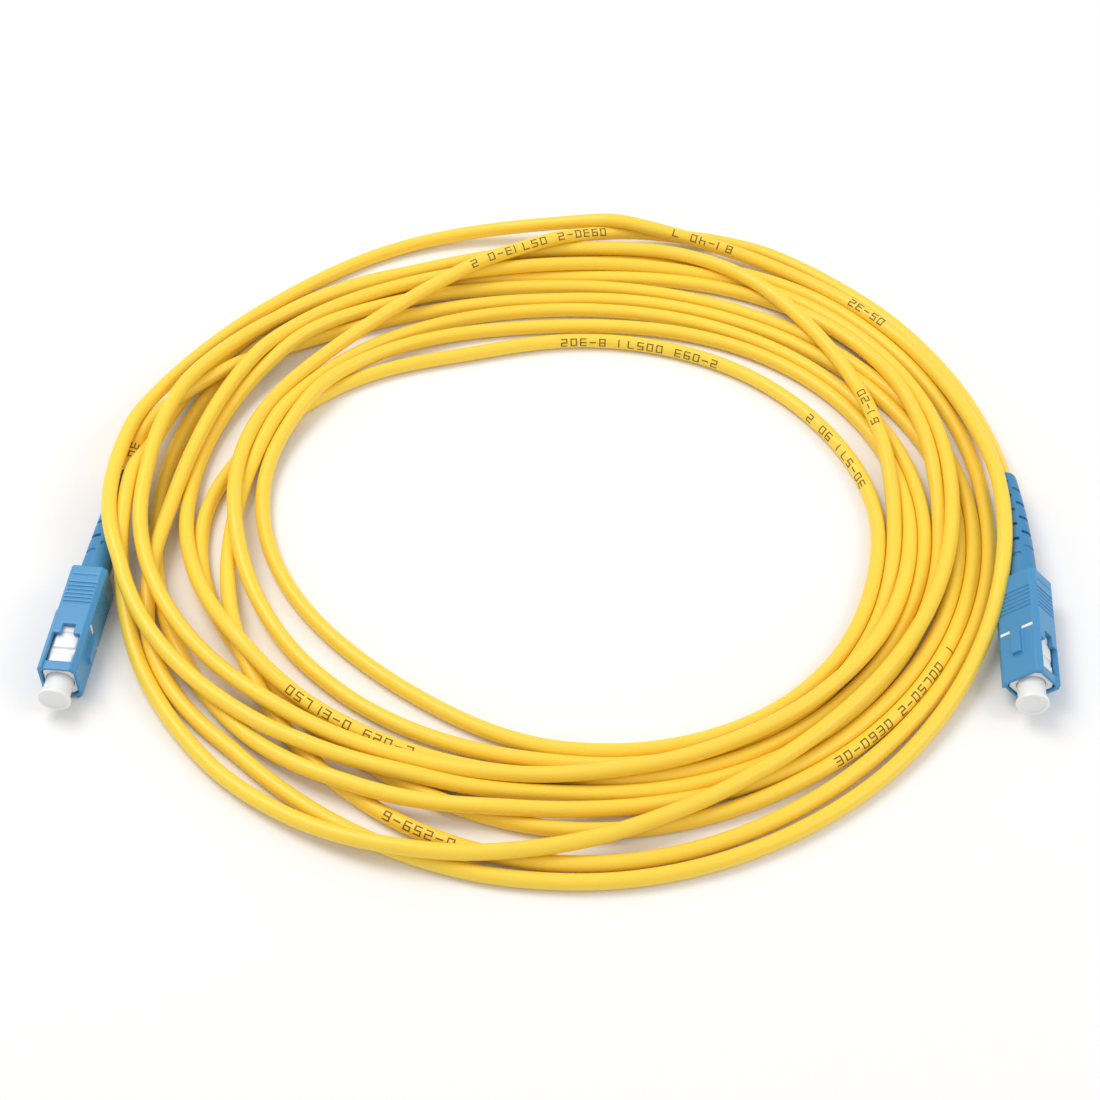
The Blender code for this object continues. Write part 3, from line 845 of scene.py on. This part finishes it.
def make_marks(end, material):
    """The two white index bars let into the key face, one on each side of the key."""
    face = SLEEVE_WIDTH / 2
    front, back = BAR_PLACE
    for label, side in (("left", 1), ("right", -1)):
        low, high = sorted(side * reach for reach in BAR_REACH)
        corners = (face - BAR_DEPTH, front, low), (face + BAR_PROUD, back, high)
        mark = box_mesh(f"white_bar_{label}_{end}", end, *corners, BAR_EDGE)
        mark.data.shade_smooth()
        node = f"index_mark_{label}_{end}"
        finish_piece(mark, material, "sleeve_" + end, "mark_white", node)


def make_frame(end, material):
    """The white plug frame, with softened edges and a ledge in each window face."""
    body = copy_of_node("plug_body_" + end, "plug_frame_" + end)
    sides = (-1, 1)
    cut_with(body, [face_cut(end, LEDGE_CUT, FRAME_HEIGHT / 2, LEDGE_DEPTH, s) for s in sides])
    soften(body, end, *FRAME_SOFT)
    finish_piece(body, material, "cord", "frame_white", "plug_frame_" + end)


def make_cap(end, material):
    """The dust cap: a thin flange, a tube with faint draft and a blind bore."""
    cap = turned_mesh("cap_" + end, end, rounded(CAP_OUTLINE))
    finish_piece(cap, material, "cap_" + end, "cap_natural", "dust_cap_" + end)


def boot_slots(end):
    """The cutters for the boot's bend slots, which come from opposite sides in turn. They lie as
    the connector would without its roll."""
    made = []
    arc = range(SLOT_STEPS + 1)
    for number in range(SLOT_COUNT):
        y = SLOT_FIRST + number * SLOT_PITCH
        middle = ENDS[end][2] + (0.0 if number % 2 else 180.0)
        points = []
        for radius in (SLOT_OUTSIDE, CUP_FLOOR if y < CUP_END else SLOT_FLOOR):
            for s in arc:
                angle = math.radians(middle - SLOT_HALF_ARC + 2 * SLOT_HALF_ARC * s / SLOT_STEPS)
                points.append((radius * math.cos(angle), radius * math.sin(angle)))
        n = len(points)
        outline = list(arc) + list(reversed(range(len(arc), n)))
        verts = [(x, y, z) for x, z in points] + [(x, y + SLOT_WIDTH, z) for x, z in points]
        faces = [tuple(outline), tuple(n + k for k in reversed(outline))]
        for a, b in zip(outline, outline[1:] + outline[:1]):
            faces.append((b, a, n + a, n + b))
        cutter = new_object(CUTTER, verts, faces)
        cutter.data.transform(end_matrix(end))
        face_outwards(cutter)
        made.append(cutter)
    return made


def make_boot(end, material):
    """The strain relief: a collar, a slotted cone and a rounded lip where the cable leaves."""
    boot = turned_mesh("boot_sleeve_" + end, end, rounded(BOOT_OUTLINE))
    cut_with(boot, boot_slots(end))
    soften(boot, end, *BOOT_SOFT)
    inverse = end_matrix(end).inverted()
    for vertex in boot.data.vertices:
        vertex.co.x += boot_sag(end, (inverse @ vertex.co).y) * MM
    finish_piece(boot, material, "cord", "boot_blue", "boot_" + end)


def spring_line():
    """The middle of the spring's wire, with its first and last turns closed up."""
    flat_rise = SPRING_WIRE * SPRING_CLOSED_RISE
    open_rise = SPRING_REAR - SPRING_FRONT - 2 * flat_rise * SPRING_CLOSED
    points = []
    for i in range(SPRING_STEPS + 1):
        t = SPRING_TURNS * i / SPRING_STEPS
        share = (t - SPRING_CLOSED) / (SPRING_TURNS - 2 * SPRING_CLOSED)
        y = SPRING_FRONT + flat_rise * min(t, SPRING_CLOSED)
        y += open_rise * min(max(share, 0.0), 1.0)
        y += flat_rise * max(0.0, t - SPRING_TURNS + SPRING_CLOSED)
        angle = 2 * math.pi * t
        points.append(
            Vector((SPRING_RADIUS * math.cos(angle), y, SPRING_RADIUS * math.sin(angle)))
        )
    return points


def make_spring(end, material):
    """The ferrule's spring, with closed ends, made at one fixed length."""
    points = spring_line()
    verts = []
    for i, point in enumerate(points):
        way = (points[min(i + 1, SPRING_STEPS)] - points[max(i - 1, 0)]).normalized()
        up = way.cross(Vector((point.x, 0.0, point.z)).normalized()).normalized()
        out = up.cross(way)
        for s in range(SPRING_SIDES):
            angle = 2 * math.pi * s / SPRING_SIDES
            verts.append(point + (out * math.cos(angle) + up * math.sin(angle)) * SPRING_WIRE)
    spring = new_object("spring_coil_" + end, verts, tube_faces(len(points), SPRING_SIDES))
    spring.data.transform(end_matrix(end))
    face_outwards(spring)
    finish_piece(spring, material, "cord", "spring_steel", "ferrule_spring_" + end)
    tuple(end_point(end, SPRING_REAR + SPRING_WIRE) * MM)
    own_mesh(spring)


# ---------------------------------------------------------------- the print along the jacket

# Figures as the strokes of a seven-bar sign: t the top, a and b the right side, d the bottom,
# e and f the left side and m the middle. A stroke runs between two corners of a grid of dots.
FIGURES = {
    "0": "tabdef",
    "1": "ab",
    "2": "tamed",
    "3": "tambd",
    "4": "famb",
    "5": "tfmbd",
    "6": "tfmbde",
    "7": "tab",
    "8": "tabdefm",
    "9": "tabdfm",
    "-": "m",
}
STROKES = {
    "t": ((0, 6), (4, 6)),
    "a": ((4, 6), (4, 3)),
    "b": ((4, 3), (4, 0)),
    "d": ((0, 0), (4, 0)),
    "e": ((0, 3), (0, 0)),
    "f": ((0, 6), (0, 3)),
    "m": ((0, 3), (4, 3)),
}
# Where the print shows: the turn, the angle from east where a run starts, how far round the jacket
# it is turned, and its figures.
PRINTS = (
    (0, 168.0, 20.0, "30-05"),
    (10, 82.0, 38.0, "0930-2 05713-0 2"),
    (2, 63.0, 35.0, "81-40 7"),
    (2, 38.0, 20.0, "05-32"),
    (7, 52.0, 62.0, "2-093 00571 8-302"),
    (7, 9.0, 50.0, "30-571 90 2"),
    (9, 20.0, 25.0, "61-20"),
    (5, 222.0, -30.0, "05713-0 620-3"),
    (4, 247.0, -30.0, "9-652-0 30"),
    (6, 312.0, -34.0, "30-0930 2-05700 1"),
)
DOT_PITCH = (0.29, 0.26)  # along the jacket and round it, mm
FIGURE_PITCH = 2.1  # from one figure to the next, mm
FIGURE_MIDDLE = 3  # the row of dots that lies on the run's line
DOT_SIDES = 8


def figure_dots(figure):
    """The dots of a figure, as places on its grid."""
    dots = set()
    for stroke in FIGURES.get(figure, ""):
        (x0, y0), (x1, y1) = STROKES[stroke]
        steps = max(abs(x1 - x0), abs(y1 - y0))
        for k in range(steps + 1):
            dots.add((x0 + (x1 - x0) * k / steps, y0 + (y1 - y0) * k / steps))
    return sorted(dots)


def print_points():
    """Every dot of the print: its place, the way it faces and the way the cable runs there."""
    path = CABLE["path"]
    lines = (path, *directions(path))
    along = lengths_along(path)
    flat = path[:, :2] - CENTRE
    swept = math.pi - np.unwrap(np.arctan2(flat[:, 1], flat[:, 0]))
    # Whole turns are taken off, so that the first turn starts in the west as it does in TURNS.
    swept = np.degrees(swept - round(swept[0] / (2 * math.pi)) * 2 * math.pi)
    places, facing, running = [], [], []
    radius = JACKET / 2
    for turn, angle, roll, figures in PRINTS:
        start = np.interp(turn * 360.0 + (180.0 - angle) % 360.0, swept, along)
        for number, figure in enumerate(figures):
            for x, y in figure_dots(figure):
                s = start - number * FIGURE_PITCH - x * DOT_PITCH[0]
                turned = math.radians(roll) + (y - FIGURE_MIDDLE) * DOT_PITCH[1] / radius
                place, way, side, up = (
                    np.array([np.interp(s, along, line[:, k]) for k in range(3)]) for line in lines
                )
                out = side * math.sin(turned) + up * math.cos(turned)
                out /= np.linalg.norm(out)
                places.append((place + out * radius) * MM)
                facing.append(out)
                running.append(way)
    return np.array(places), np.array(facing), np.array(running)


def dot_tree(material):
    """Geometry Nodes: a flat dot of ink on every point, turned with the jacket."""
    tree = bpy.data.node_groups.new("ink_dots", "GeometryNodeTree")
    face = tree.interface
    face.new_socket("Points", in_out="INPUT", socket_type="NodeSocketGeometry")
    size = face.new_socket("Dot radius", in_out="INPUT", socket_type="NodeSocketFloat")
    depth = face.new_socket("Ink thickness", in_out="INPUT", socket_type="NodeSocketFloat")
    face.new_socket("Dots", in_out="OUTPUT", socket_type="NodeSocketGeometry")
    node, link = tree.nodes.new, tree.links.new
    start, end = node("NodeGroupInput"), node("NodeGroupOutput")
    dot = node("GeometryNodeMeshCylinder")
    dot.inputs["Vertices"].default_value = DOT_SIDES
    link(start.outputs["Dot radius"], dot.inputs["Radius"])
    link(start.outputs["Ink thickness"], dot.inputs["Depth"])
    read = []
    for name in ("facing", "running"):
        named = node("GeometryNodeInputNamedAttribute")
        named.data_type = "FLOAT_VECTOR"
        named.inputs["Name"].default_value = name
        read.append(named.outputs["Attribute"])
    stand = node("FunctionNodeAlignRotationToVector")
    stand.axis = "Z"
    link(read[0], stand.inputs["Vector"])
    twist = node("FunctionNodeAlignRotationToVector")
    twist.axis = "X"
    twist.pivot_axis = "Z"
    link(stand.outputs["Rotation"], twist.inputs["Rotation"])
    link(read[1], twist.inputs["Vector"])
    place = node("GeometryNodeInstanceOnPoints")
    link(start.outputs["Points"], place.inputs["Points"])
    link(dot.outputs["Mesh"], place.inputs["Instance"])
    link(twist.outputs["Rotation"], place.inputs["Rotation"])
    real = node("GeometryNodeRealizeInstances")
    link(place.outputs["Instances"], real.inputs["Geometry"])
    paint = node("GeometryNodeSetMaterial")
    paint.inputs["Material"].default_value = material
    link(real.outputs["Geometry"], paint.inputs["Geometry"])
    link(paint.outputs["Geometry"], end.inputs["Dots"])
    return tree, size.identifier, depth.identifier


def ink_material(colour):
    """Thin ink-jet marking, patchy where it has rubbed."""
    s = Shader("marking_ink")
    patch = s.noise(s.place(), 1500.0)
    s.vary("Base Color", patch, colour, shade(colour, 2.2), ends=(0.35, 0.75))
    s.vary("Roughness", patch, 0.45, 0.6)
    s.set(Specular_IOR_Level=0.35)
    return s.material


class PatchCordPrint(bpy.types.PropertyGroup):
    """The print's colour and the size of its dots"""

    ink: bpy.props.FloatVectorProperty(
        name="Ink",
        description="Colour of the print",
        subtype="COLOR",
        size=3,
        default=srgb(92, 66, 22),
    )
    dot: bpy.props.FloatProperty(
        name="Dot radius",
        description="Radius of one dot of ink",
        default=0.145 * MM,
        unit="LENGTH",
        precision=6,
    )
    thickness: bpy.props.FloatProperty(
        name="Ink thickness",
        description="Thickness of one dot",
        default=0.05 * MM,
        unit="LENGTH",
        precision=6,
    )


class OBJECT_OT_patch_cord_print(bpy.types.Operator):
    """Print plain figures along the jacket, dot by dot"""

    bl_idname = "object.patch_cord_print"
    bl_label = "Print"

    def execute(self, context):
        props = context.scene.patch_cord_print
        places, facing, running = print_points()
        marks = new_object("jacket_print", places, [])
        for name, values in (("facing", facing), ("running", running)):
            held = marks.data.attributes.new(name, "FLOAT_VECTOR", "POINT")
            held.data.foreach_set("vector", values.astype(np.float32).ravel())
        ink = ink_material(props.ink)
        tree, size, depth = dot_tree(ink)
        dots = marks.modifiers.new("ink", "NODES")
        dots.node_group = tree
        dots[size] = props.dot
        dots[depth] = props.thickness
        bake(marks)
        if len(marks.data.polygons) < len(places):
            raise RuntimeError("the print has no dots")
        marks.data.materials.clear()
        marks.data.materials.append(ink)
        for name in ("facing", "running"):
            held = marks.data.attributes.get(name)
            if held:
                marks.data.attributes.remove(held)
        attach(marks, "cord")
        CABLE["on_it"] = [marks]
        return {"FINISHED"}


# ---------------------------------------------------------------- the connectors' operators


def brushed(name, colour, roughness, scale):
    """Turned metal, with fine rings round the axis."""
    s = Shader(name)
    fine = s.noise(s.place(scale=(1.0, 12.0, 1.0)), scale)
    s.vary("Base Color", fine, shade(colour, 0.92), shade(colour, 1.08))
    s.vary("Roughness", fine, roughness - 0.06, roughness + 0.08)
    s.link(s.bump(fine, 0.1, 0.00004), s.base.inputs["Normal"])
    s.set(Metallic=1.0)
    return s.material


def yarn_material(colour):
    """Golden aramid filaments laid along the spigot."""
    s = Shader("aramid")
    strands = s.noise(s.place(scale=(1.0, 0.05, 1.0)), 9000.0, 2.0)
    s.vary("Base Color", strands, shade(colour, 0.7), shade(colour, 1.2))
    s.vary("Roughness", strands, 0.6, 0.8)
    s.link(s.bump(strands, 0.5, 0.0001), s.base.inputs["Normal"])
    return s.material


class PatchCordConnectors(bpy.types.PropertyGroup):
    """The colours of the connectors' plastics"""

    sleeve: bpy.props.FloatVectorProperty(
        name="Sleeve colour",
        description="Colour of the coupling sleeves",
        subtype="COLOR",
        size=3,
        default=srgb(70, 144, 194),
    )
    boot: bpy.props.FloatVectorProperty(
        name="Boot colour",
        description="Colour of the strain reliefs",
        subtype="COLOR",
        size=3,
        default=srgb(60, 132, 182),
    )
    body: bpy.props.FloatVectorProperty(
        name="Plug colour",
        description="Colour of the inner plug frames",
        subtype="COLOR",
        size=3,
        default=srgb(240, 241, 240),
    )
    cap: bpy.props.FloatVectorProperty(
        name="Cap colour",
        description="Colour of the dust caps",
        subtype="COLOR",
        size=3,
        default=srgb(236, 237, 236),
    )


class OBJECT_OT_patch_cord_sleeves(bpy.types.Operator):
    """Make both coupling sleeves and their white index bars"""

    bl_idname = "object.patch_cord_sleeves"
    bl_label = "Coupling sleeves"

    def execute(self, context):
        props = context.scene.patch_cord_connectors
        blue = moulded("sleeve_blue", props.sleeve, 0.34, 7000.0, vary=0.05, bump=0.1)
        white = moulded("mark_white", srgb(238, 240, 240), 0.5, 6000.0)
        for end in ENDS:
            make_sleeve(end, blue)
            make_marks(end, white)
        return {"FINISHED"}


class OBJECT_OT_patch_cord_plugs(bpy.types.Operator):
    """Make both white plug frames and their dust caps"""

    bl_idname = "object.patch_cord_plugs"
    bl_label = "Plug frames and dust caps"

    def execute(self, context):
        props = context.scene.patch_cord_connectors
        white = moulded("frame_white", props.body, 0.38, 7000.0, vary=0.02, through=0.15)
        natural = moulded("cap_natural", props.cap, 0.33, 5000.0, vary=0.02, through=0.35)
        for end in ENDS:
            make_frame(end, white)
            make_cap(end, natural)
        return {"FINISHED"}


class OBJECT_OT_patch_cord_boots(bpy.types.Operator):
    """Make both slotted strain reliefs"""

    bl_idname = "object.patch_cord_boots"
    bl_label = "Strain reliefs"

    def execute(self, context):
        colour = context.scene.patch_cord_connectors.boot
        rubber = moulded("boot_blue", colour, 0.5, 6000.0, vary=0.05, bump=0.12)
        for end in ENDS:
            make_boot(end, rubber)
        return {"FINISHED"}


SHARP_ANGLE = math.radians(35.0)  # edges of the inner pieces that are sharper stay crisp


class OBJECT_OT_patch_cord_inner(bpy.types.Operator):
    """Finish the ferrules, springs and rear bodies inside the connectors"""

    bl_idname = "object.patch_cord_inner"
    bl_label = "Inner pieces"

    def execute(self, context):
        finishes = {
            "ferrule_": moulded(
                "zirconia", srgb(243, 240, 232), 0.14, 4000.0, vary=0.015, bump=0.02
            ),
            "ferrule_flange_": brushed("nickel", (0.66, 0.65, 0.62), 0.3, 5000.0),
            "stop_ring_": brushed("nickel_rear", (0.64, 0.63, 0.60), 0.32, 4000.0),
            "crimp_ring_": brushed("nickel_crimp", (0.62, 0.61, 0.58), 0.34, 4500.0),
            "aramid_yarn_": yarn_material(srgb(226, 196, 108)),
            "buffered_fibre_": moulded(
                "buffer_white", srgb(240, 240, 236), 0.45, 8000.0, vary=0.03
            ),
        }
        steel = brushed("spring_steel", (0.55, 0.55, 0.55), 0.28, 8000.0)
        for end in ENDS:
            make_spring(end, steel)
            for node, material in finishes.items():
                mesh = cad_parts[node + end].data
                mesh.materials.clear()
                mesh.materials.append(material)
                mesh.shade_smooth()
                mesh.set_sharp_from_angle(angle=SHARP_ANGLE)
        return {"FINISHED"}


# ---------------------------------------------------------------- floor, light and camera


def floor_material(colour):
    """A seamless sheet of matt paper."""
    s = Shader("studio_paper")
    tooth = s.noise(s.place(), 1400.0)
    s.vary("Base Color", tooth, shade(colour, 0.995), colour)
    s.vary("Roughness", tooth, 0.8, 0.9)
    s.set(Specular_IOR_Level=0.2)
    return s.material


FLOOR_HALF = 3.0  # m
AIM = Vector((-0.0008, 0.013, 0.0))  # the point that the camera looks at, m
SENSOR_WIDTH = 36.0  # mm
CLIP_START = 0.01  # m
# Soft boxes: the place and the point that each faces in m, its size in m, its power as a share of
# the key light's, and its colour.
LIGHTS = {
    "key_light": ((-0.35, 0.25, 0.75), (0.0, 0.0, 0.0), 0.5, 1.0, (1.0, 0.98, 0.95)),
    "side_light": ((0.6, -0.1, 0.5), (0.0, 0.02, 0.0), 0.4, 0.35, (0.96, 0.98, 1.0)),
}


def turn_to(thing, way):
    """Turns a light or a camera to look along a direction."""
    thing.rotation_euler = way.to_track_quat("-Z", "Y").to_euler()


def area_light(name, place, aim, size, power, colour):
    """A soft box that faces a point."""
    data = bpy.data.lights.new(name, "AREA")
    data.shape = "DISK"
    data.size = size
    data.energy = power
    data.color = colour
    lamp = add_object(name, data)
    lamp.location = place
    turn_to(lamp, Vector(aim) - Vector(place))


def studio_world(strength):
    """Plain white light from all round."""
    world = bpy.data.worlds.new("studio")
    world.use_nodes = True
    back = world.node_tree.nodes["Background"]
    back.inputs["Color"].default_value = (1.0, 1.0, 1.0, 1.0)
    back.inputs["Strength"].default_value = strength
    return world


class PatchCordStage(bpy.types.PropertyGroup):
    """The floor, the lights and the camera"""

    floor_colour: bpy.props.FloatVectorProperty(
        name="Floor colour",
        description="Colour of the floor",
        subtype="COLOR",
        size=3,
        default=(0.9, 0.893, 0.893),
    )
    sky: bpy.props.FloatProperty(
        name="Fill light", description="Brightness of the light all round", default=0.68, min=0.0
    )
    key: bpy.props.FloatProperty(
        name="Key light", description="Power of the main soft box", default=3.4, unit="POWER"
    )
    lens: bpy.props.FloatProperty(
        name="Lens", description="Focal length", default=66.66, unit="CAMERA"
    )
    distance: bpy.props.FloatProperty(
        name="Camera distance",
        description="From the camera to the point it looks at",
        default=0.4032,
        unit="LENGTH",
    )
    tilt: bpy.props.FloatProperty(
        name="Camera height",
        description="Angle above the floor",
        subtype="ANGLE",
        default=math.radians(49.57),
    )


class OBJECT_OT_patch_cord_stage(bpy.types.Operator):
    """Set out the floor, the lights and the camera"""

    bl_idname = "object.patch_cord_stage"
    bl_label = "Floor, lights and camera"

    def execute(self, context):
        props = context.scene.patch_cord_stage
        half = FLOOR_HALF
        corners = [(-half, -half, 0.0), (half, -half, 0.0), (half, half, 0.0), (-half, half, 0.0)]
        floor = new_object("floor", corners, [(0, 1, 2, 3)])
        floor.data.materials.append(floor_material(props.floor_colour))
        context.scene.world = studio_world(props.sky)
        context.scene.view_settings.view_transform = "Standard"
        for name, (place, aim, size, share, colour) in LIGHTS.items():
            area_light(name, place, aim, size, props.key * share, colour)
        way = Vector((0.0, math.cos(props.tilt), -math.sin(props.tilt))) * props.distance
        data = bpy.data.cameras.new("camera")
        data.lens = props.lens
        data.sensor_width = SENSOR_WIDTH
        data.clip_start = CLIP_START
        camera = add_object("camera", data)
        camera.location = AIM - way
        turn_to(camera, way)
        context.scene.camera = camera
        return {"FINISHED"}


GROUPS = (
    (PatchCordCable, "patch_cord_cable"),
    (PatchCordPrint, "patch_cord_print"),
    (PatchCordConnectors, "patch_cord_connectors"),
    (PatchCordStage, "patch_cord_stage"),
)
OPERATORS = (
    OBJECT_OT_patch_cord_cable,
    OBJECT_OT_patch_cord_print,
    OBJECT_OT_patch_cord_sleeves,
    OBJECT_OT_patch_cord_plugs,
    OBJECT_OT_patch_cord_boots,
    OBJECT_OT_patch_cord_inner,
    OBJECT_OT_patch_cord_stage,
)


class VIEW3D_PT_patch_cord(bpy.types.Panel):
    """The patch cord's operators and settings in the sidebar"""

    bl_label = "Fibre patch cord"
    bl_idname = "VIEW3D_PT_patch_cord"
    bl_space_type = "VIEW_3D"
    bl_region_type = "UI"
    bl_category = "Patch Cord"

    def draw(self, context):
        for operator in OPERATORS:
            self.layout.operator(operator.bl_idname)
        for group, name in GROUPS:
            box = self.layout.box()
            held = getattr(context.scene, name)
            for key in group.__annotations__:
                box.prop(held, key)


def register():
    for group, name in GROUPS:
        bpy.utils.register_class(group)
        setattr(bpy.types.Scene, name, bpy.props.PointerProperty(type=group))
    for operator in OPERATORS:
        bpy.utils.register_class(operator)
    bpy.utils.register_class(VIEW3D_PT_patch_cord)


def unregister():
    bpy.utils.unregister_class(VIEW3D_PT_patch_cord)
    for operator in reversed(OPERATORS):
        bpy.utils.unregister_class(operator)
    for group, name in reversed(GROUPS):
        delattr(bpy.types.Scene, name)
        bpy.utils.unregister_class(group)


def main():
    register()
    for operator in OPERATORS:
        group, name = operator.bl_idname.split(".")
        if getattr(getattr(bpy.ops, group), name)() != {"FINISHED"}:
            raise RuntimeError(f"{operator.bl_label} wasn't finished")
    declare_cable(bpy.context.scene.patch_cord_cable.diameter)


if __name__ == "__main__":
    main()
